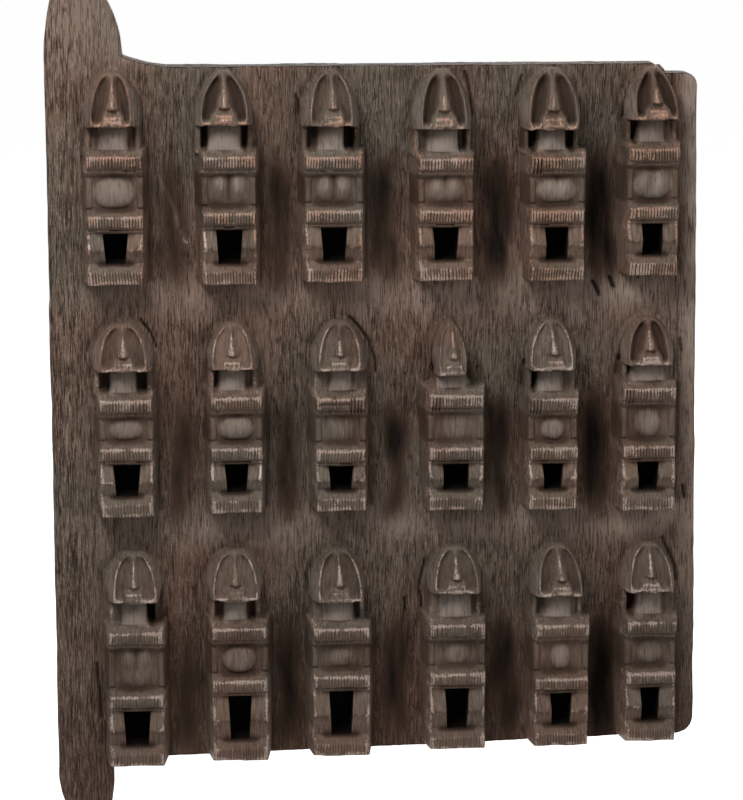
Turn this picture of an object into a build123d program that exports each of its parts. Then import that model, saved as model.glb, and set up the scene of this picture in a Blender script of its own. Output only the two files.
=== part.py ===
from build123d import *
import os
from collections import namedtuple
from math import atan2, cos, hypot, radians, sin, tan

# Dogon granary door: one thick plank with three rows of six ancestor figures carved in deep
# relief on its front, and a pivot at each end of its left-hand stile.
# Millimetres. +X runs from the stile to the free edge, the carved face looks along -Y, +Z is up.
# The origin is on the pivot axis, half-way along the lower pivot's journal.

# ---- The plank ----
slab = 27.0                 # thickness of the plank between its face and its back
relief = 28.0               # how far the figures stand out of the face
stile = 26.0                # pivot axis to the plank's left edge
free_margin = 43.0          # last column of figures to the plank's free edge
edge_round = 3.0            # worn edges of the plank
stile_round = 9.0           # worn long edges of the stile
foot_rise = 11.0            # the lower edge rises this much from the stile to the free edge
top_dip = 8.0               # the upper edge dips this much from the stile to the figures
chip_width = 34.0           # lost corner at the upper free end
chip_depth = 8.0
lower_corner = 14.0         # radius of the lower free corner
upper_corner = 11.0         # radius of the upper free corner
lean = 8.0                  # the free edge leans outward this much at its foot

# ---- Pivots ----
journal_radius = 13.0
journal_length = 24.0
journal_dome = 4.0          # rounded end beyond each journal
neck_flat = 0.5             # flats that the taper still has where it meets the journal
stub_thinning = 1.0         # the stubs are thinner than the plank by this much at their taper
stub_round = 11.0           # corners of the stubs where they start to taper
lower_neck = 22.0           # taper between the lower journal and the broad stub
lower_stub = 33.0           # broad stub between that taper and the plank
lower_width = 45.0          # width of the lower stub where it leaves the plank
lower_waist = 42.0          # its width where the taper starts
upper_neck = 18.0
upper_stub = 44.0
upper_width = 62.0
upper_waist = 45.0

# ---- Where the figures stand ----
first_column = 34.0         # pivot axis to the first column
column_pitch = 84.0
row_gap = 31.0              # crowns of one row to the feet of the row above
foot_margin = 8.0           # feet of the lowest row above the plank's lower edge at the stile

# ---- A figure ----
base_height = 11.0          # block that the figure stands on
base_slope = 5.0            # height of the sloping top of the base
leg_proud = 21.0            # legs at the base and under the hips
knee_proud = 26.0           # legs at the knee
band_height = 9.0           # hatched front of the hip and shoulder bars
bevel_height = 5.0          # sloping underside of the bars
bar_slope = 4.0             # sloping top of the hip bar
torso_proud = 17.0          # flat of the torso beside the belly
belly_proud = 23.0          # front of the belly
belly_margin = 6.0          # flat of the torso at each side of the belly
belly_root = 1.0            # how far the belly is let into the torso
arm_proud = 21.0            # front of the arms, which hang beside the belly
arm_width = 4.5
shoulder_slope = 5.0        # sloping top of the shoulder bar
shoulder_proud = 16.0       # back edge of that slope
neck_proud = 18.0           # front of the neck
body_draft = 7.0            # degrees that the body widens towards the plank
gap_sink = 13.0             # how far the gap between the legs goes on into the plank
hood_draft = 8.0            # degrees that the head widens towards the plank
arch_height = 0.56          # share of the hood's height at which its fullness is given
chin_proud = 27.0
crown_proud = 9.0           # front of the head at its crown
brow_swell = 2.0            # how far the front of the hood bows out between crown and jaw
jaw_height = 5.0            # upright lower rim of the face
jaw_undercut = 3.0
jaw_lip = 1.5               # small rounding under the lower rim
rim_width = 4.0             # rim round the hollowed face
face_depth = 6.5            # how deep the face is hollowed
face_height = 0.86          # height of that hollow as a share of the way from jaw to crown
nose_foot = 0.30            # tip of the nose, as a share of the way from jaw to crown
nose_width = 9.0            # crest of the nose at its tip
nose_spread = 19.0          # width of the nose there where it runs out into the cheeks
nose_ridge = 2.5            # crest of the nose where it starts under the crown
nose_root = 8.0             # and its spread there
mouth_width = 19.0
mouth_height = 8.0
mouth_angle = 68.0          # slope of the mouth's ends, in degrees
mouth_drop = 1.0            # the mouth reaches this far below the top of the jaw
mouth_proud = 1.0           # how far it stands out of the jaw

# ---- Hollows between the columns ----
scoop_depth = 9.0           # deepest beside the legs
scoop_deepest = 38.0        # height of the deepest place above the feet
scoop_lead = 8.0            # each hollow starts this far above the crowns
scoop_heel = 6.0            # and ends this far below the feet
clear = 5.0                 # how far the cutting shapes reach past what they cut

# Heights that each row shares, from its feet: top of the hip bar, top of the shoulder bar,
# chin and crown.
Row = namedtuple("Row", "hips shoulders chin crown")
rows = (
    Row(56.0, 99.0, 122.0, 168.0),
    Row(52.0, 94.0, 114.0, 155.0),
    Row(62.0, 106.0, 130.0, 172.0),
)

# What sets each figure apart: sideways shift of its head and of its body from the column,
# the widths of its head, neck and body, how much its feet, hips, shoulders and chin are
# higher than the row's, the fullness of its hood (half width at the arch height, as a share of
# the half width at the chin), and the width of the gap between its legs at the top and foot.
Carving = namedtuple(
    "Carving",
    "head body head_width neck_width body_width feet hips shoulders chin fullness gap_top gap_foot",
)
carvings = (
    (
        Carving(-7, -6, 52, 25, 43, 0, -2, 2, 1, 0.85, 20, 15),
        Carving(-4, -1, 51, 26, 41, -1, 1, 2, 3, 0.80, 21, 17),
        Carving(-5, -3, 53, 22, 44, 0, 1, 0, 0, 0.80, 21, 17),
        Carving(-1, 1, 53, 25, 42, 0, 0, -2, -3, 0.83, 21, 17),
        Carving(1, 5, 50, 22, 42, -1, 0, -1, -3, 0.90, 20, 18),
        Carving(-4, -3, 49, 24, 39, 2, -1, 2, 1, 0.84, 17, 16),
    ),
    (
        Carving(-2, 0, 54, 21, 41, -1, 4, 1, 3, 0.88, 22, 17),
        Carving(0, 3, 49, 20, 40, 1, 1, 0, 1, 0.87, 19, 15),
        Carving(2, 2, 51, 18, 39, 1, -2, -2, -1, 0.83, 20, 16),
        Carving(7, 10, 41, 27, 43, 0, -1, 0, -5, 0.89, 21, 20),
        Carving(2, 4, 48, 19, 38, -1, -1, -3, -1, 0.87, 16, 13),
        Carving(-4, -3, 51, 25, 42, -3, 1, 6, 4, 0.86, 18, 15),
    ),
    (
        Carving(4, 5, 49, 20, 43, -5, -3, 6, 6, 0.91, 22, 18),
        Carving(1, 4, 48, 18, 44, -2, 5, 5, 3, 0.92, 19, 15),
        Carving(0, 2, 51, 24, 45, 0, 5, 1, -2, 0.84, 21, 16),
        Carving(11, 12, 48, 25, 44, 3, 2, -1, 0, 0.86, 20, 16),
        Carving(10, 13, 47, 22, 43, 4, -5, -4, -5, 0.86, 19, 14),
        Carving(1, 2, 50, 20, 40, 6, -4, -5, -5, 0.79, 15, 13),
    ),
)

# ---- Places that follow from the sizes above ----
columns = len(carvings[0])
lower_joint = journal_length / 2 + lower_neck + lower_stub
lowest_feet = lower_joint + foot_margin
middle_feet = lowest_feet + rows[2].crown + row_gap
upper_feet = middle_feet + rows[1].crown + row_gap
row_feet = (upper_feet, middle_feet, lowest_feet)
top_edge = upper_feet + rows[0].crown
upper_joint = top_edge + top_dip
free_edge = first_column + (columns - 1) * column_pitch + free_margin
scoop_start = first_column
scoop_end = first_column + (columns - 1) * column_pitch
root = scoop_depth + 2.0    # how far the figures' stock reaches behind the face


def out(proud):
    """Y of the place that stands this far out of the plank's face."""
    return -(slab / 2 + proud)


def front(proud):
    """Plane parallel to the face, looking out of it."""
    return Plane.XZ.offset(slab / 2 + proud)


Figure = namedtuple(
    "Figure",
    "name head_x body_x head_width neck_width body_width feet hips shoulders chin crown"
    " fullness gap_top gap_foot",
)


def figure_sizes(row, column):
    """Heights above the origin and places along X of one figure."""
    own = carvings[row][column]
    shared = rows[row]
    x = first_column + column * column_pitch
    feet = row_feet[row] + own.feet
    return Figure(
        name=f"figure_r{row + 1}_c{column + 1}",
        head_x=x + own.head,
        body_x=x + own.body,
        head_width=own.head_width,
        neck_width=own.neck_width,
        body_width=own.body_width,
        feet=feet,
        hips=feet + shared.hips + own.hips,
        shoulders=feet + shared.shoulders + own.shoulders,
        chin=feet + shared.chin + own.chin,
        crown=row_feet[row] + shared.crown,
        fullness=own.fullness,
        gap_top=own.gap_top,
        gap_foot=own.gap_foot,
    )


figures = [figure_sizes(row, column) for row in range(len(rows)) for column in range(columns)]


# ---- Carved forms ----
def body_profile(f):
    """Side outline from the feet to the shoulders, as (Y, Z) points."""
    base_top = f.feet + base_height
    legs_foot = base_top + base_slope
    hip_band = f.hips - band_height
    legs_top = hip_band - bevel_height
    knee = (legs_foot + legs_top) / 2
    shoulder_band = f.shoulders - band_height
    return [
        (out(-root), f.feet),
        (out(relief), f.feet),
        (out(relief), base_top),
        (out(leg_proud), legs_foot),
        (out(knee_proud), knee),
        (out(leg_proud), legs_top),
        (out(relief), hip_band),
        (out(relief), f.hips),
        (out(torso_proud), f.hips + bar_slope),
        (out(torso_proud), shoulder_band - bevel_height),
        (out(relief), shoulder_band),
        (out(relief), f.shoulders),
        (out(shoulder_proud), f.shoulders + shoulder_slope),
        (out(-root), f.shoulders + shoulder_slope),
    ]


def carve_belly(f):
    """Low barrel of a belly between the hip bar and the shoulder bar."""
    swell = belly_proud - torso_proud
    reach = f.body_width / 2 - belly_margin
    axis_proud = belly_proud - (reach**2 + swell**2) / (2 * swell)
    foot = f.hips + bar_slope
    top = f.shoulders - band_height - bevel_height
    with BuildPart() as belly:
        with BuildSketch(Plane.YZ.offset(f.body_x)):
            with BuildLine():
                edge_foot = (out(torso_proud), foot)
                crest = (out(belly_proud), (foot + top) / 2)
                edge_top = (out(torso_proud), top)
                Polyline(edge_top, (out(axis_proud), top), (out(axis_proud), foot), edge_foot)
                ThreePointArc(edge_foot, crest, edge_top)
            make_face()
        revolve(axis=Axis((f.body_x, out(axis_proud), 0), (0, 0, 1)))
        split(bisect_by=front(torso_proud - belly_root), keep=Keep.TOP)
    return belly.part


def carve_body(f):
    """Base, legs, hips, torso and shoulders: the side outline, cut to the tapering front."""
    height = f.shoulders + shoulder_slope - f.feet
    taller = 3 * height     # so that the taper cuts the sides only
    arms_foot = f.hips - band_height
    arms_top = f.shoulders
    belly = carve_belly(f)
    with BuildPart() as body:
        with BuildSketch(Plane.YZ.offset(f.body_x)):
            with BuildLine():
                Polyline(*body_profile(f), close=True)
            make_face()
        extrude(amount=f.body_width, both=True)
        with BuildSketch(front(-root)):
            with Locations((f.body_x, (arms_foot + arms_top) / 2)):
                with GridLocations(f.body_width - arm_width, 0, 2, 1):
                    Rectangle(arm_width, arms_top - arms_foot)
        extrude(amount=root + arm_proud)
        with BuildSketch(front(relief)):
            with Locations((f.body_x, f.feet + height / 2)):
                Rectangle(f.body_width, taller)
        extrude(amount=-(relief + root), taper=-body_draft, mode=Mode.INTERSECT)
        add(belly)
    return body.part


def ogive(x, foot, half, tip, fullness):
    """Pointed arch on a straight foot."""
    left = (x - half, foot)
    right = (x + half, foot)
    point = (x, tip)
    swell = foot + arch_height * (tip - foot)
    reach = fullness * half
    with BuildLine() as arch:
        ThreePointArc(left, (x - reach, swell), point)
        ThreePointArc(point, (x + reach, swell), right)
        Line(right, left)
    return arch.line


def carve_head(f):
    """Pointed hood over a hollowed face, with a ridge of a nose and a mouth on the jaw."""
    half = f.head_width / 2
    jaw = f.chin + jaw_height
    rise = f.crown - jaw
    slope = chin_proud - crown_proud
    tilt = atan2(slope, rise)
    brow = hypot(slope, rise)
    face_top = face_height * brow
    face = Plane(
        origin=(f.head_x, out(chin_proud), jaw),
        x_dir=(1, 0, 0),
        z_dir=(0, -cos(tilt), sin(tilt)),
    )
    bow = (
        out((chin_proud + crown_proud) / 2 + brow_swell * cos(tilt)),
        (jaw + f.crown) / 2 + brow_swell * sin(tilt),
    )
    draft = chin_proud * tan(radians(hood_draft))
    hood = ogive(f.head_x, f.chin - draft, half, f.crown, f.fullness)
    hollow = ogive(0, 0, half - draft - rim_width, face_top, f.fullness)
    tip = nose_foot * brow
    with BuildPart() as head:
        with BuildSketch(front(0)) as outline:
            add(hood)
            make_face()
        extrude(amount=chin_proud, taper=hood_draft)
        extrude(outline.sketch, amount=-root)
        with BuildSketch(Plane.YZ.offset(f.head_x)):
            with BuildLine():
                Polyline(
                    (out(crown_proud), f.crown),
                    (out(-root - clear), f.crown),
                    (out(-root - clear), f.chin + jaw_undercut),
                    (out(neck_proud), f.chin + jaw_undercut),
                    (out(chin_proud - jaw_lip), f.chin),
                    (out(chin_proud), f.chin + jaw_lip),
                    (out(chin_proud), jaw),
                )
                ThreePointArc((out(chin_proud), jaw), bow, (out(crown_proud), f.crown))
            make_face()
        extrude(amount=f.head_width, both=True, mode=Mode.INTERSECT)
        with BuildSketch(face.offset(brow_swell)):
            add(hollow)
            make_face()
        extrude(amount=-(face_depth + brow_swell), mode=Mode.SUBTRACT)
        for depth, foot_width, top_width in (
            (face_depth, nose_spread, nose_root),
            (0, nose_width, nose_ridge),
        ):
            with BuildSketch(face.offset(-depth)):
                with BuildLine():
                    Polyline(
                        (-foot_width / 2, tip),
                        (foot_width / 2, tip),
                        (top_width / 2, face_top),
                        (-top_width / 2, face_top),
                        close=True,
                    )
                make_face()
        loft()
        with BuildSketch(face.offset(-face_depth)):
            with Locations((0, mouth_height / 2 - mouth_drop)):
                Trapezoid(mouth_width, mouth_height, mouth_angle)
        extrude(amount=face_depth + mouth_proud)
    return head.part


def leg_gap(f):
    """The space between the legs, from in front of the figure on into the plank."""
    foot = f.feet + base_height + base_slope
    top = f.hips - band_height - bevel_height
    with BuildPart() as gap:
        with BuildSketch(front(relief)):
            with BuildLine():
                Polyline(
                    (f.body_x - f.gap_foot / 2, foot),
                    (f.body_x + f.gap_foot / 2, foot),
                    (f.body_x + f.gap_top / 2, top),
                    (f.body_x - f.gap_top / 2, top),
                    close=True,
                )
            make_face()
        extrude(amount=-(relief + gap_sink))
    return gap.part


def carve_figure(f, gap):
    """One ancestor figure, seated on the plank's face and in its hollows."""
    body = carve_body(f)
    head = carve_head(f)
    with BuildPart() as figure:
        add(body)
        add(head)
        with BuildSketch(Plane.XY.offset(f.shoulders)):
            with Locations((f.head_x, out(neck_proud - f.neck_width / 2))):
                Circle(f.neck_width / 2)
        extrude(amount=f.chin + jaw_height - f.shoulders)
        add(gap, mode=Mode.SUBTRACT)
        add(stock.part, mode=Mode.SUBTRACT)
    figure.part.label = f.name
    return figure.part


def carve_pivot(joint, width, waist, stub, neck, way):
    """Broad stub, taper and round journal that carry on the stile, up or down (way 1 or -1)."""
    with BuildPart() as pivot:
        with BuildSketch(Plane.XY.offset(joint)):
            with Locations((width / 2 - stile, 0)):
                RectangleRounded(width, slab, stile_round)
        with BuildSketch(Plane.XY.offset(joint + way * stub)):
            with Locations(((width / 2 - stile) / 2, 0)):
                RectangleRounded(waist, slab - stub_thinning, stub_round)
        with BuildSketch(Plane.XY.offset(joint + way * (stub + neck))):
            RectangleRounded(2 * journal_radius, 2 * journal_radius, journal_radius - neck_flat / 2)
        loft()
        with BuildSketch(Plane.XY.offset(joint + way * (stub + neck))):
            Circle(journal_radius)
        extrude(amount=way * (journal_length + journal_dome))
        tip = pivot.edges().filter_by(GeomType.CIRCLE).sort_by(Axis.Z)[-1 if way > 0 else 0]
        fillet(tip, journal_dome)
    return pivot.part


# ---- Plank ----
with BuildPart() as stock:
    with BuildSketch(front(-slab)):
        with BuildLine():
            lower_left = (-stile, lower_joint)
            lower_inner = (lower_width - stile, lower_joint)
            lower_right = (free_edge, lower_joint + foot_rise)
            upper_right = (free_edge - lean, top_edge - chip_depth)
            chip = (free_edge - lean - chip_width, top_edge - chip_depth)
            crest = (free_edge - lean - chip_width, top_edge)
            dip = (upper_width - stile + column_pitch / 2, top_edge)
            upper_inner = (upper_width - stile, upper_joint)
            upper_left = (-stile, upper_joint)
            Line(lower_left, lower_inner)
            FilletPolyline(lower_inner, lower_right, upper_right, chip, radius=[lower_corner, upper_corner])
            Line(chip, crest)
            Line(crest, dip)
            TangentArc(dip, upper_inner, tangent=(-1, 0))
            Line(upper_inner, upper_left)
            Line(upper_left, lower_left)
        make_face()
    extrude(amount=slab)
    rims = stock.edges().group_by(Axis.Y)[0] + stock.edges().group_by(Axis.Y)[-1]
    stile_edges = rims.group_by(Axis.X)[0]
    joints = (lower_joint, upper_joint)
    worn = [edge for edge in rims if edge not in stile_edges and edge.center().Z not in joints]
    fillet(stile_edges, stile_round)
    fillet(worn, edge_round)
    for row, feet in enumerate(row_feet):
        # the lowest hollows run out through the plank's lower edge
        end = feet - scoop_heel if row < len(rows) - 1 else feet - row_gap
        with BuildSketch(Plane.YZ.offset(scoop_start)):
            with BuildLine():
                start = feet + rows[row].crown + scoop_lead
                lead = (out(0), start)
                deepest = (out(-scoop_depth), feet + scoop_deepest)
                heel = (out(0), end)
                Spline(lead, deepest, heel, tangents=[(0, -1), (0, -1)])
                Polyline(heel, (out(clear), end), (out(clear), start), lead)
            make_face()
        extrude(amount=scoop_end - scoop_start, mode=Mode.SUBTRACT)

gaps = {f.name: leg_gap(f) for f in figures}

with BuildPart() as plank:
    add(stock.part)
    add(gaps.values(), mode=Mode.SUBTRACT)

# ---- Pieces ----
os.makedirs("parts", exist_ok=True)
plank.part.label = "plank"
export_step(plank.part, "parts/plank.step")

lower_pivot = carve_pivot(lower_joint, lower_width, lower_waist, lower_stub, lower_neck, -1)
lower_pivot.label = "lower_pivot"
export_step(lower_pivot, "parts/lower_pivot.step")

upper_pivot = carve_pivot(upper_joint, upper_width, upper_waist, upper_stub, upper_neck, 1)
upper_pivot.label = "upper_pivot"
export_step(upper_pivot, "parts/upper_pivot.step")

for f in figures:
    export_step(carve_figure(f, gaps[f.name]), f"parts/{f.name}.step")
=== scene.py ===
from collections import namedtuple
from math import cos, pi, radians, sin, tan

import bmesh
import bpy
import numpy as np
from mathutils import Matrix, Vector


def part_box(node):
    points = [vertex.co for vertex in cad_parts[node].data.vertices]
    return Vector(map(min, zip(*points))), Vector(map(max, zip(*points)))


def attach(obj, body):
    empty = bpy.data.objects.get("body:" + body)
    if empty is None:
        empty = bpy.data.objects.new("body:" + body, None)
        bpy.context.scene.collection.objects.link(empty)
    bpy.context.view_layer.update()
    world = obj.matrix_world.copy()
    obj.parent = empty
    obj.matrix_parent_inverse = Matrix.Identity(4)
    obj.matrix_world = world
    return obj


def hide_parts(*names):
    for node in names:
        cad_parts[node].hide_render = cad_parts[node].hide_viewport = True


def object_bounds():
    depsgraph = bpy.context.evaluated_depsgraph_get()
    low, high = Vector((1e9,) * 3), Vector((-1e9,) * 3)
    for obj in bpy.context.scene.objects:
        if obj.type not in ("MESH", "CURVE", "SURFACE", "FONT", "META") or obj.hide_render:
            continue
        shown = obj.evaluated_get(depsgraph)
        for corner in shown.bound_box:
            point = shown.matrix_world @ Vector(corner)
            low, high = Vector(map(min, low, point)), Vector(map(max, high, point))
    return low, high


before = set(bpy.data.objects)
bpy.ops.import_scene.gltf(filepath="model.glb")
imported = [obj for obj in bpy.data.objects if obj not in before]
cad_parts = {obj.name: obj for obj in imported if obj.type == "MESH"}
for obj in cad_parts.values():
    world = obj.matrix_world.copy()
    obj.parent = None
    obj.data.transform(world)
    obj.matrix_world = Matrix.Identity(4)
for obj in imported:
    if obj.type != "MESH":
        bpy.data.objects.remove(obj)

# A carved granary door: one weathered plank on two pivots, with three rows of six ancestor
# figures in deep relief. Carving is worked out in millimetres, meshes are in metres.
# X runs from the pivot stile to the free edge, the carved face looks along -Y, Z is up.

bl_info = {
    "name": "Carved Granary Door",
    "version": (1, 0, 0),
    "blender": (4, 5, 0),
    "location": "View3D > Sidebar > Granary Door",
    "description": "Weathered plank door with ancestor figures carved in deep relief",
    "category": "Add Mesh",
}

MM = 0.001
CAD_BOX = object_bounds()
ROWS = 3
COLUMNS = 6
LEAF_NODES = ("plank", "upper_pivot", "lower_pivot")
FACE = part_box("plank")[0].y / MM            # Y of the plank's carved face
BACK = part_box("plank")[1].y / MM
LOWER_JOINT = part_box("lower_pivot")[1].z / MM
UPPER_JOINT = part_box("upper_pivot")[0].z / MM


def paint(red, green, blue):
    """Scene colour of a colour given in the usual 0 to 255."""
    shares = (red / 255, green / 255, blue / 255)
    return tuple(c / 12.92 if c < 0.04045 else ((c + 0.055) / 1.055) ** 2.4 for c in shares)


def colour(name, description, *shade):
    """Property that holds a colour, given in the usual 0 to 255."""
    return bpy.props.FloatVectorProperty(
        name=name, description=description, subtype="COLOR", size=3, min=0.0, max=1.0, default=paint(*shade)
    )


def size(name, description, value, least=0.0):
    """Property that holds a length, given in mm."""
    return bpy.props.FloatProperty(
        name=name, description=description, default=value * MM, min=least * MM, unit="LENGTH"
    )


# ---- Sizes and colours that a user would change ----
class GranaryCarving(bpy.types.PropertyGroup):
    """Sizes of the carving, past those that the solids already fix."""

    leaf_cell: size("Leaf Detail", "Size of the faces of the plank's mesh", 1.7, 1.0)
    leaf_triangles: bpy.props.IntProperty(
        name="Leaf Triangles", description="Most triangles that the plank may keep",
        default=188000, min=20000,
    )
    chisel_x: size("Figure Detail Across", "Width of the faces of a figure's mesh", 0.5, 0.3)
    chisel_z: size("Figure Detail Upward", "Height of the faces of a figure's mesh", 0.8, 0.4)
    root: size("Root", "How far a figure reaches behind the plank's face", 17.0)
    face_depth: size("Face Depth", "Depth of the hollows beside the nose", 7.0)
    hatch_pitch: size("Hatching Pitch", "Spacing of the grooves cut across the bars", 2.3, 0.5)
    hatch_depth: size("Hatching Depth", "Depth of the grooves cut across the bars", 0.9)
    gouge_depth: size("Gouge Depth", "Depth of the gouge marks on the plank's ground", 0.9)
    pool_depth: size("Pool Depth", "How much deeper the ground is between two figures", 2.5)


class GranaryColours(bpy.types.PropertyGroup):
    """Colours of the timber."""

    timber: colour("Timber", "Weathered wood in plain light", 102, 88, 78)
    furrow: colour("Furrow", "Wood in the furrows of the grain", 52, 39, 31)
    # This colour is on the dusty crests of the grain, and is also the tone of the painted light on the
    # plank's bleached places.
    dust: colour("Bleached Wood", "Dusty crests of the grain and bleached places", 144, 127, 116)
    # This colour is also the tone of the painted light on the figures' throats, chests and hood flanks.
    ash: colour("Ashy Wood", "Greyer bare wood of bellies and necks", 139, 128, 119)
    lichen: colour("Grey Tint", "Greenish grey patches", 86, 82, 70)
    russet: colour("Russet Tint", "Reddish brown patches", 108, 76, 60)
    # This colour makes the wood darker and redder towards the foot of the door.
    damp: colour("Lower Wood", "Darker reddish brown wood low on the door", 77, 51, 40)
    # This colour is on rubbed places high on the door, and also on the painted highlights and glints there.
    polish: colour("Handled Wood", "Wood rubbed bare and polished by hands", 148, 113, 93)
    # This colour is on rubbed places low on the door, and also on the painted highlights and glints there.
    pale: colour("Pale Handled Wood", "Duller wood rubbed bare low on the door", 156, 136, 124)
    # This colour is the warm painted shade in hollows, under things and between the figures.
    umber: colour("Umber", "Warm brown wood in the shelter of the hollows", 54, 39, 30)
    # This colour is soot, and also the painted shadow in the darkest places, such as the space between the
    # legs.
    soot: colour("Soot", "Black grime in the deepest hollows", 13, 10, 8)


class GranaryStage(bpy.types.PropertyGroup):
    """Camera, lamps and floor."""

    azimuth: bpy.props.FloatProperty(
        name="Azimuth", description="Camera's turn to the right of straight in front",
        default=radians(-4.5), unit="ROTATION",
    )
    elevation: bpy.props.FloatProperty(
        name="Elevation", description="How steeply the camera looks down",
        default=radians(12.0), unit="ROTATION",
    )
    distance: bpy.props.FloatProperty(
        name="Distance", description="Camera to the place it looks at",
        default=2.5, unit="LENGTH",
    )
    lens: bpy.props.FloatProperty(
        name="Lens", description="Focal length on a sensor 36 mm high",
        default=140.6, min=10.0,
    )
    target: bpy.props.FloatVectorProperty(
        name="Target", description="Place that the camera looks at",
        size=3, subtype="TRANSLATION", default=(0.230, -0.0135, 0.364),
    )
    key_power: bpy.props.FloatProperty(
        name="Key Lamp", description="Power of the large lamp above and to the left",
        default=18.0, unit="POWER",
    )
    fill_power: bpy.props.FloatProperty(
        name="Fill Lamp", description="Power of the lamp beside the camera",
        default=7.5, unit="POWER",
    )
    back_power: bpy.props.FloatProperty(
        name="Back Lamp", description="Power of the lamp that lights the plank's back",
        default=20.0, unit="POWER",
    )
    room_light: bpy.props.FloatProperty(
        name="Room Light", description="Strength of the even light from all round",
        default=0.12, min=0.0,
    )
    floor_glow: bpy.props.FloatProperty(
        name="Floor Glow", description="White that the floor shows besides the lamps' light and shade",
        default=0.89, min=0.0, max=1.0, subtype="FACTOR",
    )


# ---- What sets each figure apart ----
# fullness: 0 for a pointed hood, 1 for a round one. face, face_half: sideways shift and half
# width of the face inside the hood. nose: shift of the nose from the middle of the face.
# hollow: share of the face's full depth. neck: its width, and flare what it gains at the shoulders.
# left, right: how deep the wood is cut away beside the neck. gap_top, gap_foot: the space between
# the legs. belly, waist: its swell and half width. breasts: their swell. trim_left, trim_right: what
# the hood lacks there. block: width of the upright grooves at the left end of the shoulder bar, or
# below 0 at its right end.
Look = namedtuple(
    "Look",
    "fullness face face_half nose hollow neck flare left right gap_top gap_foot belly waist breasts "
    "trim_left trim_right block",
)
LOOKS = {
    "figure_r1_c1": Look(0.50, -1.5, 15, 2.0, 1.00, 23, 0, 2.0, 2.5, 20, 15, 5.5, 17, 0, 0, 0, 0),
    "figure_r1_c2": Look(0.15, -0.5, 17.5, 0, 1.15, 26, 0, 5.3, 4.6, 21, 17, 1.5, 17, 5, 0, 0, 0),
    "figure_r1_c3": Look(0.15, 0, 15.5, 2.0, 0.95, 21, 0, 4.4, 5.4, 21, 17, 1.5, 15, 4.5, 0, 0, 0),
    "figure_r1_c4": Look(0.35, 0, 17, 0, 1.10, 25, 0, 2, 4, 21, 17, 2, 16, 3, 0, 0, 0),
    "figure_r1_c5": Look(0.80, 0, 18.5, 0, 1.15, 22, 1, 6.2, 5, 19, 17, 4, 17, 3, 0, 0, 10),
    "figure_r1_c6": Look(0.40, 3, 16, 1.5, 1.10, 20, 1, 5.2, 2, 17, 16, 4.5, 16, 3, 2, 0, 0),
    "figure_r2_c1": Look(0.65, 0.5, 17.5, 0, 0.95, 21, 0, 4, 4, 22, 17, 4.5, 14, 0, 0, 0, 0),
    "figure_r2_c2": Look(0.60, 0, 15, 0, 0.60, 20, 1, 3.5, 2, 19, 15, 5, 15, 1.5, 3, 0, 0),
    "figure_r2_c3": Look(0.35, -1.5, 15.5, 0, 0.80, 17, 3, 1, 0.5, 20, 16, 1.5, 12, 1, 0, 0, -12),
    "figure_r2_c4": Look(0.80, 0, 10.0, 1.0, 0.45, 24, 8, 0, 1.5, 21, 20, 1, 12, 0.5, 4, 5.5, 10),
    "figure_r2_c5": Look(0.60, 0, 16, 3.0, 0.70, 19, 2, 5, 1.5, 17, 14, 4.5, 10, 0, 3, 0, 9),
    "figure_r2_c6": Look(0.50, -0.5, 15.5, 2.0, 1.05, 25, 3, 5, 0, 18, 15, 4, 11, 0, 3, 0, 10),
    "figure_r3_c1": Look(1.00, 1, 16, -1.5, 0.85, 20, 1, 1.5, 6, 22, 18, 2.5, 14, 3.5, 0, 0, 0),
    "figure_r3_c2": Look(1.00, 0, 17, 0, 0.80, 18, 1, 3.5, 3.5, 19, 15, 7, 14, 0, 0, 0, 0),
    "figure_r3_c3": Look(0.50, 1.5, 16.5, 0, 0.85, 24, 2, 1, 3, 20, 16, 3, 10, 1, 0, 0, 0),
    "figure_r3_c4": Look(0.50, 0, 16.5, 0, 0.90, 25, 2, 1, 2, 20, 16, 2.5, 10, 0, 0, 0, 0),
    "figure_r3_c5": Look(0.50, 1.5, 16.5, 1.5, 0.95, 22, 2, 3, 1.5, 18, 15, 4, 9, 0, 0, 0, 0),
    "figure_r3_c6": Look(0.30, 0, 16, 0, 0.85, 20, 2, 5, 1, 16, 14, 2.5, 11, 0, 0, 0, 0),
}

# Drying cracks and stop cuts in the plank's face, as (X, Z) points.
CRACKS = (
    ((213, 432), (227, 414), (233, 397), (234, 386)),
    ((228, 373), (233, 352), (238, 329)),
    ((259, 384), (261, 359), (262, 336), (264, 315)),
    ((301, 386), (307, 377), (311, 366)),
    ((316, 388), (318, 372)),
    ((468, 626), (469, 614)),
    ((407, 458), (412, 447)),
    ((421, 461), (424, 453)),
    ((479, 410), (480, 400)),
    ((483, 289), (485, 279)),
    ((467, 246), (473, 233), (478, 221), (480, 210)),
    ((47, 432), (54, 422), (59, 409)),
    ((7, 150), (9, 127), (10, 104)),
    ((304, 626), (308, 608), (309, 592)),
    ((171, 609), (173, 593)),
    ((349, 623), (344, 607)),
    ((273, 231), (269, 206), (273, 176)),
    ((257, 198), (263, 164)),
)
SCRATCH = ((52, 569), (57, 553), (64, 541), (72, 524), (78, 504), (82, 493), (85, 492))
SAME_PLACE = 0.05           # measures of the solids agree when they differ by less than this
LET_IN = 4.0                # how far the pivots' copies reach into the plank before they are joined
JOINT_REACH = 7.0           # how far above and below a pivot's joint the wood is smoothed
JOINT_SIDE = 34.0           # X up to which it is smoothed
JOINT_PASSES = 12
CRACK_WIDTH = 1.2
CRACK_DEPTH = 2.2
POOL_DROP = 14.0            # how far below the hips the painted shade on the ground is darkest
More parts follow.
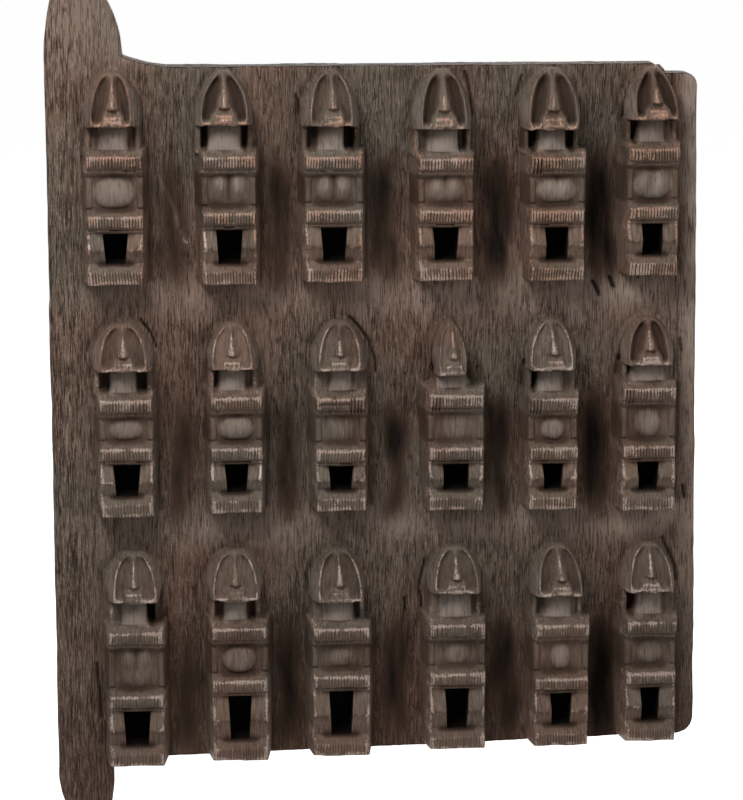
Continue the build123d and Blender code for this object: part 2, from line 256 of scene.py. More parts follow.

# Relief of a figure over the plank's face, in mm, at the heights that its solid gives.
RELIEF = 28.0
LEG = 20.0
KNEE = 26.5
TORSO = 15.5
ARM = 18.0
SHOULDER_BACK = 16.0
NECK = 18.0
CHIN = 27.0
CROWN = 9.0
FACE_TOP = 0.92         # top of the face's opening, as a share of the head's height
HEAD_HEIGHT = 52.0      # no figure has its shoulders nearer to its crown than this
JAW_LIP = 1.5
STRAP = 12.0            # relief of the wood left standing outside the cuts beside the neck
WEB = 16.0              # relief of the wood beside the neck where nothing is cut away
CORNER_DROP = 5.0       # how much lower than the chin the hood's corners end
BASE_SLOPE = 5.0
BEVEL = 5.0
BAR_SLOPE = 4.0
UNDER_SLOPE = 7.5       # height of the rounded underside of the shoulder bar
SHOULDER_SLOPE = 5.0
DRAFT = tan(radians(7))
ARM_WIDTH = 5.0
SIDE_MARGIN = 6.0       # how far a figure's grid reaches past it sideways
END_MARGIN = 2.0        # how far a figure's grid reaches below its feet and over its crown
DARK_BEHIND = 5.0       # how far behind the legs' front the space between them is painted black as shade
BLOCK_PITCH = 2.7       # spacing of the upright grooves at a shoulder bar's end
ROW_HEIGHTS = (120, 330, 560)       # Z at which a value given for each row holds

# How open the wood's grain is, from 0 to 1.
OPEN_WOOD = 1.0
HANDLED_WOOD = 0.15


# ---- Carver's helpers ----
def ripple(seed, x, z, width, length):
    """Smooth random swell from -1 to 1, in hills about width by length."""
    lattice = np.random.default_rng(seed).uniform(-1.0, 1.0, (256, 256))
    across, along = x / width, z / length
    i, j = np.floor(across).astype(int), np.floor(along).astype(int)
    s, t = across - i, along - j
    s, t = s * s * (3 - 2 * s), t * t * (3 - 2 * t)
    left = lattice[i % 256, j % 256] * (1 - t) + lattice[i % 256, (j + 1) % 256] * t
    right = lattice[(i + 1) % 256, j % 256] * (1 - t) + lattice[(i + 1) % 256, (j + 1) % 256] * t
    return left * (1 - s) + right * s


def hump(distance, reach):
    """1 at the middle, falling smoothly to nothing past the reach."""
    return np.exp(-((distance / reach) ** 2))


def step(value, low, high):
    """0 below low, 1 above high, smooth between them."""
    t = np.clip((value - low) / (high - low), 0.0, 1.0)
    return t * t * (3 - 2 * t)


def soften(field, across, along):
    """The field blurred by so many cells each way."""
    for axis, reach in ((1, across), (0, along)):
        count = max(1, int(round(3 * reach)))
        weights = np.exp(-0.5 * (np.arange(-count, count + 1) / reach) ** 2)
        weights /= weights.sum()
        padded = np.pad(field, [(count, count) if a == axis else (0, 0) for a in (0, 1)], mode="edge")
        slices = [np.take(padded, range(k, k + field.shape[axis]), axis=axis) for k in range(2 * count + 1)]
        field = sum(w * s for w, s in zip(weights, slices))
    return field


def track_distance(x, z, track):
    """Distance of each place from a run of straight stretches."""
    nearest = np.full(x.shape, 1e9)
    for (ax, az), (bx, bz) in zip(track, track[1:]):
        length = (bx - ax) ** 2 + (bz - az) ** 2
        share = np.clip(((x - ax) * (bx - ax) + (z - az) * (bz - az)) / length, 0.0, 1.0)
        nearest = np.minimum(nearest, np.hypot(x - ax - share * (bx - ax), z - az - share * (bz - az)))
    return nearest


# ---- Reading the solids ----
Marks = namedtuple(
    "Marks",
    "body_x half feet base hip_band hips shoulder_band shoulders chin head_x head_half crown",
)


def figure_marks(name):
    """Heights and widths of one figure, in mm, read from its solid."""
    points = np.array([v.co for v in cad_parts[name].data.vertices]) / MM
    crown = points[:, 2].max()
    below_neck = points[:, 2] < crown - HEAD_HEIGHT
    bars = points[(np.abs(points[:, 1] - (FACE - RELIEF)) < SAME_PLACE) & below_neck]
    feet, base, hip_band, hips, shoulder_band, shoulders = np.unique(np.round(bars[:, 2], 1))
    jaw = points[np.abs(points[:, 1] - (FACE - CHIN)) < SAME_PLACE]
    head = points[points[:, 2] > (shoulders + crown) / 2]
    return Marks(
        body_x=(bars[:, 0].min() + bars[:, 0].max()) / 2,
        half=(bars[:, 0].max() - bars[:, 0].min()) / 2,
        feet=feet, base=base, hip_band=hip_band, hips=hips,
        shoulder_band=shoulder_band, shoulders=shoulders,
        chin=jaw[:, 2].min() - JAW_LIP,
        head_x=(head[:, 0].min() + head[:, 0].max()) / 2,
        head_half=(head[:, 0].max() - head[:, 0].min()) / 2,
        crown=crown,
    )


FIGURES = [f"figure_r{row}_c{column}" for row in range(1, ROWS + 1) for column in range(1, COLUMNS + 1)]
MARKS = {name: figure_marks(name) for name in FIGURES}
ROW_GAPS = [
    sum(MARKS[f"figure_r{row}_c{c}"].feet + MARKS[f"figure_r{row + 1}_c{c}"].crown for c in (1, COLUMNS)) / 4
    for row in (1, 2)
]


def hood_half(m, look, height):
    """Half width of the hood at a height from 0 at the chin to 1 at the crown."""
    power = 1.85 + 0.50 * look.fullness
    root = 0.78 - 0.25 * look.fullness
    share = np.clip(height, 0.0, 1.0)
    tuck = 1 - 0.14 * look.fullness * step(0.32 - height, 0.0, 0.32)
    return (m.head_half - 1.5) * tuck * (1 - share**power) ** root


# ---- Materials ----
class Value:
    """A number in a material: arithmetic on it adds the Math nodes."""

    def __init__(self, finish, socket):
        self.finish = finish
        self.socket = socket

    def join(self, operation, other, turned=False):
        first, second = (other, self) if turned else (self, other)
        return self.finish.node("ShaderNodeMath", {"operation": operation}, {0: first, 1: second})

    def __add__(self, other):
        return self.join("ADD", other)

    def __radd__(self, other):
        return self.join("ADD", other, True)

    def __sub__(self, other):
        return self.join("SUBTRACT", other)

    def __rsub__(self, other):
        return self.join("SUBTRACT", other, True)

    def __mul__(self, other):
        return self.join("MULTIPLY", other)

    def __rmul__(self, other):
        return self.join("MULTIPLY", other, True)


class Finish:
    """Shader nodes under construction, of a material or of the world."""

    def __init__(self, owner):
        owner.use_nodes = True
        self.owner = owner
        self.tree = owner.node_tree
        self.tree.nodes.clear()

    def node(self, kind, settings=None, inputs=None, output=0):
        """Adds a node, sets it, and returns one of its outputs."""
        made = self.tree.nodes.new(kind)
        for key, value in (settings or {}).items():
            setattr(made, key, value)
        for key, value in (inputs or {}).items():
            if isinstance(value, Value):
                self.tree.links.new(value.socket, made.inputs[key])
            else:
                made.inputs[key].default_value = value
        return Value(self, made.outputs[output]) if made.outputs else None

    def place(self, scale):
        """Place on the object, in metres, stretched by the given scale along X, Y and Z."""
        where = self.node("ShaderNodeTexCoord", output="Object")
        return self.node("ShaderNodeMapping", inputs={"Vector": where, "Scale": scale})

    def along(self, axis, vector):
        """One part, X, Y or Z, of a vector."""
        return self.node("ShaderNodeSeparateXYZ", inputs={"Vector": vector}, output=axis)

    def noise(self, stretch, scale, detail, roughness):
        """Noise in cells that the stretch draws out along the axes where it is small."""
        inputs = {"Vector": self.place(stretch), "Scale": scale, "Detail": detail, "Roughness": roughness}
        return self.node("ShaderNodeTexNoise", inputs=inputs)

    def mask(self, value, low, high):
        """0 where the value is below low, 1 above high."""
        return self.node(
            "ShaderNodeMapRange", {"interpolation_type": "SMOOTHSTEP"},
            {"Value": value, "From Min": low, "From Max": high, "To Min": 0.0, "To Max": 1.0},
        )

    def line(self, value, width):
        """1 along the thin lines where a noise passes its middle, 0 elsewhere."""
        away = self.node("ShaderNodeMath", {"operation": "ABSOLUTE"}, {0: value - 0.5})
        return self.mask(away, width, width * 0.2)

    def mix(self, share, first, second):
        """The first colour, with as much of the second over it as the share says."""
        first, second = ((*c, 1.0) if isinstance(c, tuple) else c for c in (first, second))
        settings = {"data_type": "RGBA", "clamp_factor": True}
        return self.node("ShaderNodeMix", settings, {0: share, 6: first, 7: second}, output=2)

    def painted(self, name):
        """A value painted on the mesh while it was carved."""
        return self.node("ShaderNodeAttribute", {"attribute_name": name}, output="Fac")


def timber_finish(name, colours, rough):
    """Weathered hand-hewn wood: upright grain, soot and painted shade in the hollows, polish and painted
    highlights on what hands reach, painted light on bleached places.

    rough is OPEN_WOOD for open weathered grain, less for wood that handling has closed.
    """
    wood = Finish(bpy.data.materials.new(name))
    tint = {key: tuple(getattr(colours, key)) for key in GranaryColours.__annotations__}
    hairs = wood.noise((1.0, 0.2, 0.11), 1700.0, 2.0, 0.6)
    fibres = wood.noise((1.0, 0.2, 0.085), 950.0, 2.0, 0.5)
    grain = wood.noise((1.0, 0.2, 0.06), 380.0, 3.0, 0.6)
    sheaf = wood.noise((1.0, 1.0, 0.12), 70.0, 3.0, 0.5)
    patches = wood.noise((1.0, 1.0, 0.7), 8.0, 2.0, 0.5)
    stains = wood.noise((1.0, 1.0, 0.8), 26.0, 3.0, 0.6)
    specks = wood.noise((1.0, 1.0, 1.0), 520.0, 2.0, 0.5)
    where = wood.node("ShaderNodeTexCoord", output="Object")
    upward = wood.along("Z", where)
    on_stile = wood.mask(wood.along("X", where), 0.008, -0.008)
    contrast = 0.70 + 0.35 * wood.mask(stains, 0.42, 0.58) + 0.35 * on_stile
    sideways = wood.along("X", wood.node("ShaderNodeNewGeometry", output="True Normal"))
    open_grain = wood.mask(sideways * sideways, 0.7, 0.3) * rough

    # Painted masks: wear with painted highlights, soot with painted shade, bleached places with painted
    # light.
    wear, grime, bleach = (wood.painted(layer) for layer in ("wear", "grime", "bleach"))
    furrows = wood.mask(fibres * 0.55 + grain * 0.35 + specks * 0.1, 0.49, 0.41) * contrast
    crests = wood.mask(fibres * 0.5 + hairs * 0.35 + specks * 0.15, 0.51, 0.585) * contrast
    lines = wood.line(grain, 0.026) * wood.mask(sheaf, 0.36, 0.56) * (1.0 - bleach * 0.7) * open_grain
    splits = wood.mask(grain, 0.34, 0.29) * wood.mask(sheaf, 0.45, 0.60) * (1.0 - bleach) * open_grain

    # Bare colours: patches, darker and redder towards the foot, bleached places with painted light.
    patched = wood.mix(wood.mask(patches, 0.43, 0.62), tint["lichen"], tint["russet"])
    plain = wood.mix(0.52, tint["timber"], patched)
    dampness = wood.mask(upward + (stains - 0.5) * 0.3, 0.36, -0.08) * (0.15 + 0.6 * rough)
    damped = wood.mix(dampness, plain, tint["damp"])
    bleached_and_lit = tint["dust"] if rough == OPEN_WOOD else tint["ash"]
    # Lighter on the bleached places and the painted light, and a little lighter everywhere on the figures.
    dusty = wood.mix(bleach + 0.14 * (1.0 - rough), damped, bleached_and_lit)

    # Grain: dark furrows, dusty crests, cracks and blots.
    lined = wood.mix(furrows * (0.35 + 0.35 * rough), dusty, tint["furrow"])
    cresting = crests * wood.mask(upward, -0.3, 0.25) * (0.32 + 0.18 * rough)
    ridged = wood.mix(cresting, lined, tint["dust"])
    cracked = wood.mix(lines * 0.75, ridged, tint["soot"])
    blotched = wood.mix(wood.mask(stains, 0.46, 0.70) * 0.30, cracked, tint["furrow"])

    # Handling with painted highlights on the same places, and soot with painted shade, both broken up by the
    # grain.
    breaks = (specks - 0.5) * 2.6 + (hairs - 0.5) * 1.8 + (fibres - 0.5) * 1.5 + 1.0
    # Rubbed places and the painted highlights on them take the handled tones.
    rubbed_and_glinting = wood.mask(wear * breaks, 0.30, 0.95)
    up_high = wood.mask(upward + (stains - 0.5) * 1.1, 0.34, 0.62)
    worn_and_glint_tone = wood.mix(up_high, tint["pale"], tint["polish"])
    polished = wood.mix(rubbed_and_glinting, blotched, worn_and_glint_tone)
    split = wood.mix(splits * 0.7, polished, tint["soot"])
    # Painted shade: warm umber where it is light, black at the darkest, with the soot.
    shaded = wood.mix(wood.mask(grime + (stains - 0.5) * 0.4, 0.0, 0.60) * 0.85, split, tint["umber"])
    sooty = wood.mix(wood.mask(grime + (fibres - 0.5) * 0.5, 0.40, 1.0), shaded, tint["soot"])

    height = hairs * 0.15 + fibres * 0.45 + grain * 0.50 + sheaf * 0.40 - splits * 0.5 - lines * 0.15
    relief = {"Height": height, "Distance": 0.0022, "Strength": 0.5 + 0.4 * rough}
    bump = wood.node("ShaderNodeBump", inputs=relief, output="Normal")
    shader = wood.node(
        "ShaderNodeBsdfPrincipled",
        inputs={
            "Base Color": sooty, "Roughness": 0.70 - rubbed_and_glinting * 0.2, "Normal": bump, "Specular IOR Level": 0.08,
            "Coat Weight": rubbed_and_glinting * 0.55, "Coat Roughness": 0.30,
        },
    )
    wood.node("ShaderNodeOutputMaterial", inputs={"Surface": shader})
    return wood.owner


def finish_piece(piece, nodes, material):
    """Gives a carved piece its material and its body, and hides the solids that it stands for."""
    piece.data.materials.clear()
    piece.data.materials.append(material)
    for polygon in piece.data.polygons:
        polygon.use_smooth = True
    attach(piece, "root")
    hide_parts(*nodes)


def carved_object(name, mesh):
    piece = bpy.data.objects.new(name, mesh)
    bpy.context.scene.collection.objects.link(piece)
    return piece


def settled(piece):
    """The piece's mesh with its modifiers worked in."""
    bpy.context.view_layer.update()
    seen = piece.evaluated_get(bpy.context.evaluated_depsgraph_get())
    mesh = bpy.data.meshes.new_from_object(seen)
    piece.modifiers.clear()
    worn_out = piece.data
    piece.data = mesh
    bpy.data.meshes.remove(worn_out)
    return mesh


def read_vectors(mesh, layer):
    flat = np.empty(len(mesh.vertices) * 3)
    mesh.vertices.foreach_get(layer, flat)
    return flat.reshape(-1, 3)


def coordinates(mesh):
    return read_vectors(mesh, "co")


def outward(mesh):
    return read_vectors(mesh, "normal")


def paint_value(mesh, name, values):
    attribute = mesh.attributes.new(name, "FLOAT", "POINT")
    attribute.data.foreach_set("value", np.ascontiguousarray(values, np.float32))


# ---- The leaf ----
def column_gaps():
    """Places between neighbouring figures, as X, Z of the legs' top and the half height of a figure."""
    gaps = []
    for row in range(ROWS):
        names = FIGURES[row * COLUMNS:(row + 1) * COLUMNS]
        for left, right in zip(names, names[1:]):
            a, b = MARKS[left], MARKS[right]
            gaps.append(((a.body_x + b.body_x) / 2, (a.hips + b.hips) / 2, (a.crown - a.feet) / 2))
    return gaps


def ground_depth(carving, x, z):
    """How far the ground is cut below the plank's face, past what the solid has, in mm."""
    depth = 0.9 * (1 + ripple(11, x, z, 38, 85))
    for gap_x, gap_z, reach in column_gaps():
        depth += carving.pool_depth / MM * hump(x - gap_x, 17) * hump(z - gap_z, 0.55 * reach)
    slant = x + 0.12 * z + 6 * ripple(15, x, z, 75, 110)
    gouges = ripple(12, slant, z, 5.5, 42) + 0.6 * ripple(13, slant, z, 3.1, 26)
    depth += carving.gouge_depth / MM * np.abs(gouges)
    depth += 0.35 * (1 + ripple(14, x, z, 1.9, 30))
    for name, m in MARKS.items():
        look = LOOKS[name]
        height = (z - m.chin) / (m.crown - m.chin)
        beside = np.abs(x - m.head_x) - hood_half(m, look, height)
        level = step(height, 0.0, 0.25) * step(1.12 - height, 0.0, 0.1)
        depth += 1.2 * hump(beside - 2.0, 2.2) * level
        neck = step(z, m.shoulders + 1, m.shoulders + 6) * step(m.chin + 6 - z, 0, 4)
        for side, cut in ((-1, look.left), (1, look.right)):
            depth += cut * neck * hump(side * (x - m.head_x) - look.neck / 2 - 4.5, 4.5)
    return depth


def leg_pit(x, z):
    """1 over the pits that the spaces between the legs make in the plank."""
    pit = np.zeros(x.shape)
    for m in MARKS.values():
        pit[(np.abs(x - m.body_x) < m.half - 4) & (z > m.base) & (z < m.hips)] = 1.0
    return pit


def crack_depth(x, z):
    depth = np.zeros(x.shape)
    wander = 0.8 * ripple(21, x, z, 6, 9)
    for track in CRACKS:
        distance = track_distance(x + wander, z, track)
        depth = np.maximum(depth, hump(distance, CRACK_WIDTH))
    return depth


def ground_grime_and_shade(x, z, y):
    """Soot and painted shade on the leaf: in the pools between the figures, beside the figures, in the neck
    cuts and in the leg pits.
    """
    grime = np.zeros(x.shape)
    sway = ripple(32, x, z, 9, 22)
    # Painted shade pooled between neighbouring figures, darker towards the free edge.
    for gap_x, gap_z, reach in column_gaps():
        darker = 0.64 + 0.45 * gap_x / 500
        below = (z - gap_z + POOL_DROP) / (0.66 * reach)
        grime = np.maximum(grime, darker * hump(x - gap_x + 3 * sway, 13) * np.exp(-(below**4)))
    for name, m in MARKS.items():
        # Painted shade in the cuts beside the necks.
        look = LOOKS[name]
        neck = step(z, m.shoulders - 2, m.shoulders + 5) * step(m.chin + 6 - z, 0, 4)
        for side, cut in ((-1, look.left), (1, look.right)):
            spot = hump(side * (x - m.head_x) - look.neck / 2 - 4, 5)
            grime = np.maximum(grime, neck * spot * cut / 8)
        # Painted shadow beside each figure, stronger on its right side.
        beside = np.abs(x - m.body_x) - m.half - 4
        foot = step(z, m.feet - 4, m.feet) * step(m.shoulders + 4 - z, 0, 6)
        grime = np.maximum(grime, np.where(x < m.body_x, 0.15, 0.5) * foot * hump(beside, 6))
    grime *= 0.85 + 0.22 * ripple(31, x, z, 14, 30) + 0.25 * ripple(33, x, z, 4, 30)
    # The pits behind the spaces between the legs are painted black as shade.
    grime[(leg_pit(x, z) > 0) & (y < BACK - 4)] = 1.0
    return grime


class GRANARY_OT_carve_leaf(bpy.types.Operator):
    """Carve the plank and its two pivots from one piece of timber"""

    bl_idname = "granary.carve_leaf"
    bl_label = "Carve Leaf"

    def execute(self, context):
        carving = context.scene.granary_carving
        leaf = carved_object("leaf", self.joined_stock())
        cells = leaf.modifiers.new("cells", "REMESH")
        cells.mode = "VOXEL"
        cells.voxel_size = carving.leaf_cell * 1.0
        mesh = settled(leaf)
        self.blend_joints(mesh)
        co, normal = self.hew(mesh, carving)
        self.thin_out(leaf, co, normal, carving.leaf_triangles)
        self.weather(leaf.data)
        material = timber_finish("leaf_timber", context.scene.granary_colours, OPEN_WOOD)
        finish_piece(leaf, LEAF_NODES, material)
        return {"FINISHED"}

    def joined_stock(self):
        """Copies of the plank and the pivots, with the pivots let into the plank a little."""
        block = bmesh.new()
        for node, joint, inward in (
            ("plank", None, 0), ("lower_pivot", LOWER_JOINT, LET_IN), ("upper_pivot", UPPER_JOINT, -LET_IN)
        ):
            stick = bmesh.new()
            stick.from_mesh(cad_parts[node].data)
            bmesh.ops.remove_doubles(stick, verts=stick.verts, dist=0.01 * MM)
            if joint is not None:
                seat = [v for v in stick.verts if abs(v.co.z / MM - joint) < SAME_PLACE]
                bmesh.ops.translate(stick, verts=seat, vec=(0, 0, inward * MM))
            mesh = bpy.data.meshes.new(node)
            stick.to_mesh(mesh)
            stick.free()
            block.from_mesh(mesh)
            bpy.data.meshes.remove(mesh)
        mesh = bpy.data.meshes.new("leaf")
        block.to_mesh(mesh)
        block.free()
        return mesh

    def blend_joints(self, mesh):
        """Smooths the places where the pivots grow out of the stile."""
        smoothed = bmesh.new()
        smoothed.from_mesh(mesh)
        every_way = {"use_axis_x": True, "use_axis_y": True, "use_axis_z": True}
        for joint in (LOWER_JOINT, UPPER_JOINT):
            level = [v for v in smoothed.verts if abs(v.co.z / MM - joint) < JOINT_REACH]
            near = [v for v in level if v.co.x / MM < JOINT_SIDE]
            for _ in range(JOINT_PASSES):
                bmesh.ops.smooth_vert(smoothed, verts=near, factor=0.5, **every_way)
        smoothed.to_mesh(mesh)
        smoothed.free()

    def hew(self, mesh, carving):
        """Cuts the ground, the cracks, the tool marks and the worn edges.

        Returns the cut places, in mm, and which way the wood faced there before.
        """
        co, normal = coordinates(mesh) / MM, outward(mesh)
        x, y, z = co.T
        facing = step(-normal[:, 1], 0.25, 0.8) * (1 - leg_pit(x, z))
        behind = step(normal[:, 1], 0.25, 0.8) * (y > BACK - 4)
        edge = 1 - step(np.abs(normal[:, 1]), 0.3, 0.9)
        co[:, 1] += facing * (ground_depth(carving, x, z) + CRACK_DEPTH * crack_depth(x, z))
        hewn = 0.9 * (1 + ripple(41, x, z, 26, 60)) + 0.5 * np.abs(ripple(42, x, z, 9, 45))
        co[:, 1] -= behind * hewn
        chipped = 0.5 * (1 + ripple(51, x, z + 2 * y, 24, 30)) + 0.25 * (1 + ripple(52, x + y, z, 4, 9))
        co -= normal * (edge * chipped)[:, None]
        low, high = (np.array(corner) / MM for corner in CAD_BOX)
        mesh.vertices.foreach_set("co", (np.clip(co, low, high) * MM).ravel())
        return co, normal

    def thin_out(self, leaf, co, normal, triangles):
        """Thins the mesh where figures hide it and where it is level."""
        x, y, z = co.T
        hidden = np.zeros(len(co))
        for m in MARKS.values():
            body = (np.abs(x - m.body_x) < m.half - 1) & (z > m.feet + 2) & (z < m.shoulders)
            head = (np.abs(x - m.head_x) < m.head_half * 0.6) & (z > m.chin + 2) & (z < m.crown - 12)
            hidden[(body | head) & (normal[:, 1] < 0.5)] = 1.0
        level = np.abs(normal).max(axis=1) > 0.96
        on_back = (y > BACK - 4) & (normal[:, 1] > 0.97)
        on_edges = (y > FACE + 9) & (y < BACK - 5)
        hidden[level & (on_back | on_edges)] = 1.0
        group = leaf.vertex_groups.new(name="hidden")
        group.add(np.flatnonzero(hidden > 0.5).tolist(), 1.0, "REPLACE")
        thin = leaf.modifiers.new("thin", "DECIMATE")
        thin.vertex_group = "hidden"
        thin.ratio = min(1.0, triangles / (2 * len(leaf.data.polygons)))
        settled(leaf)
        leaf.vertex_groups.clear()
        leaf.data.name = "leaf"

    def weather(self, mesh):
        """Paints soot and painted shade, wear with painted highlights, and bleached places with painted light
        on the carved leaf.
        """
        x, y, z = (coordinates(mesh) / MM).T
        normal = outward(mesh)
        faces_up = step(normal[:, 2], 0.25, 0.7)
        # Painted shade in the cracks and on the plank's upward faces.
        grime = ground_grime_and_shade(x, z, y) + 0.9 * crack_depth(x, z) * (y < FACE + 9)
        grime += 0.5 * faces_up * (y < BACK - 4)
        paint_value(mesh, "grime", np.clip(grime, 0, 1) * (y < BACK - 3))

        scratched = track_distance(x, z, SCRATCH)
        # Worn front edges with painted highlights, strongest along the free edge, and the scratch.
        rim = step(-normal[:, 1], 0.2, 0.7) * step(normal[:, 1] + 0.9, 0, 0.5) * (1 - faces_up)
        rim *= 0.35 + 0.45 * step(x, 478, 490) * step(z, 380, 520)
        paint_value(mesh, "wear", np.clip(rim + 0.8 * hump(scratched, 1.2), 0, 1))

        # Lighter places, partly painted light: a strip along the free edge, the upper pivot, the ground
        # between the rows, and the scratch.
        strip = step(x + 4 * ripple(61, x, z, 9, 30), 472, 484) * step(z, 40, 520)
        stub = step(z, 600, 660) * step(60 - x, 0, 20)
        clear = (0.28 + 0.0010 * x) * hump(z - ROW_GAPS[0], 17)
        clear += (0.24 + 0.0013 * x) * hump(z - ROW_GAPS[1], 15)
        clear *= 1 + 0.5 * ripple(62, x, z, 25, 18)
        bleach = strip + clear + 0.4 * stub + hump(scratched, 1.5)
        paint_value(mesh, "bleach", np.clip(bleach, 0, 1) * (y < BACK - 8))


# ---- The figures ----
def trimmed_half(m, look, u, height):
    """Half width of the hood on the side where u lies, after what is trimmed off it there."""
    return hood_half(m, look, height) - np.where(u < 0, look.trim_left, look.trim_right)


def neck_cut(look, u):
    """How deep the wood is cut away beside the neck, on the side where u lies."""
    return np.where(u < 0, look.left, look.right)


def by_row(z, lower, middle, upper):
    """A value that changes smoothly from the lower row of figures to the upper one."""
    return np.interp(z, ROW_HEIGHTS, (lower, middle, upper))


def belly_dome(m, look, x, z):
    """Swell of the belly, 1 at its middle."""
    foot, top = m.hips + BAR_SLOPE, m.shoulder_band - UNDER_SLOPE
    out = ((x - m.body_x) / look.waist) ** 2 + ((2 * z - foot - top) / (top - foot)) ** 2
    return np.clip(1 - out, 0, 1) ** np.interp(look.belly, [3, 6], [1.0, 0.62])


def bosom(m, x, z):
    """Two breasts under the shoulder bar, 1 at their middles."""
    u = np.abs(x - m.body_x)
    below = m.shoulder_band - UNDER_SLOPE - 8 - z
    return hump(u - 6.6, np.where(u < 6.6, 4.2, 5.6)) * hump(below, np.where(below > 0, 7.5, 10.0))


def body_relief(m, look, x, z, seed):
    """Base, legs, hips, torso and shoulders."""
    legs_foot = m.base + BASE_SLOPE
    legs_top = m.hip_band - BEVEL
    knee = (legs_foot + legs_top) / 2
    torso_foot, torso_top = m.hips + BAR_SLOPE, m.shoulder_band - UNDER_SLOPE
    heights = [
        m.feet, m.base - 1, m.base, legs_foot, knee, legs_top, m.hip_band, m.hips,
        torso_foot, torso_top, m.shoulder_band, m.shoulders, m.shoulders + SHOULDER_SLOPE,
    ]
    reliefs = [
        RELIEF - 1, RELIEF, RELIEF - 0.5, LEG, KNEE, LEG, RELIEF - 0.5, RELIEF - 0.5,
        TORSO, TORSO, RELIEF - 0.5, RELIEF, SHOULDER_BACK,
    ]
    front = np.interp(z, heights, reliefs)
    for low, high in ((m.hip_band, m.hips), (m.shoulder_band, m.shoulders)):
        roll = np.clip((z - low) / (high - low), -0.3, 1.3)
        front -= 1.7 * (1.7 * (roll - 0.62)) ** 2 * (np.abs(roll - 0.5) < 0.79)
    u = x - m.body_x
    in_torso = step(z, torso_foot - 2, torso_foot + 2) * step(torso_top + 2 - z, 0, 4)
    arm = step(np.abs(u), m.half - ARM_WIDTH - 2.0, m.half - ARM_WIDTH + 1.5)
    front = np.maximum(front, in_torso * arm * ARM)
    front = np.maximum(front, (TORSO + look.belly * belly_dome(m, look, x, z)) * in_torso)
    front = front + look.breasts * bosom(m, x, z) * in_torso * (1 - arm)
    edge = m.half + 0.5 * ripple(seed, z * 0, z, 1, 17) * np.sign(u)
    side = RELIEF - (np.abs(u) - edge) / DRAFT
    below = RELIEF - (m.feet - z) / (0.4 * DRAFT)
    return np.minimum(np.minimum(front, side), below)


def neck_half(m, look, z):
    """Half width of the neck at a height."""
    rise = np.clip((z - m.shoulders) / (m.chin - m.shoulders), 0, 1)
    return look.neck / 2 + 1.2 * hump(z - m.shoulders - 3, 4) + look.flare * (1 - rise) ** 1.5


def neck_relief(m, look, x, z):
    """Round neck between shoulders and chin."""
    half = neck_half(m, look, z)
    u = np.abs(x - m.head_x)
    return NECK - 0.7 * (half - np.sqrt(np.clip(half**2 - u**2, 0, None))) - 60 * (u > half)


def web_edge(m, look, u):
    """Distance from the figure's axis at which the wood beside the neck ends."""
    half = trimmed_half(m, look, u, 0.0)
    return look.face_half + 0.8 * (half - look.face_half)


def web_relief(m, look, x, z, seed):
    """Wood left standing beside the neck, cut back to a depth of its own on either side."""
    u = x - m.head_x
    cut = neck_cut(look, u)
    wide = web_edge(m, look, u)
    strap = STRAP - 9.0 * step(cut, 5.0, 7.0)
    recess = WEB - 3.6 * cut + 1.4 * ripple(seed, x, z, 2.2, 30)
    outer = np.minimum(strap, WEB - 1.5 * cut)
    front = recess + (outer - recess) * step(np.abs(u), wide - 5.5, wide - 3.0)
    return np.minimum(front, strap - (np.abs(u) - wide) / DRAFT)


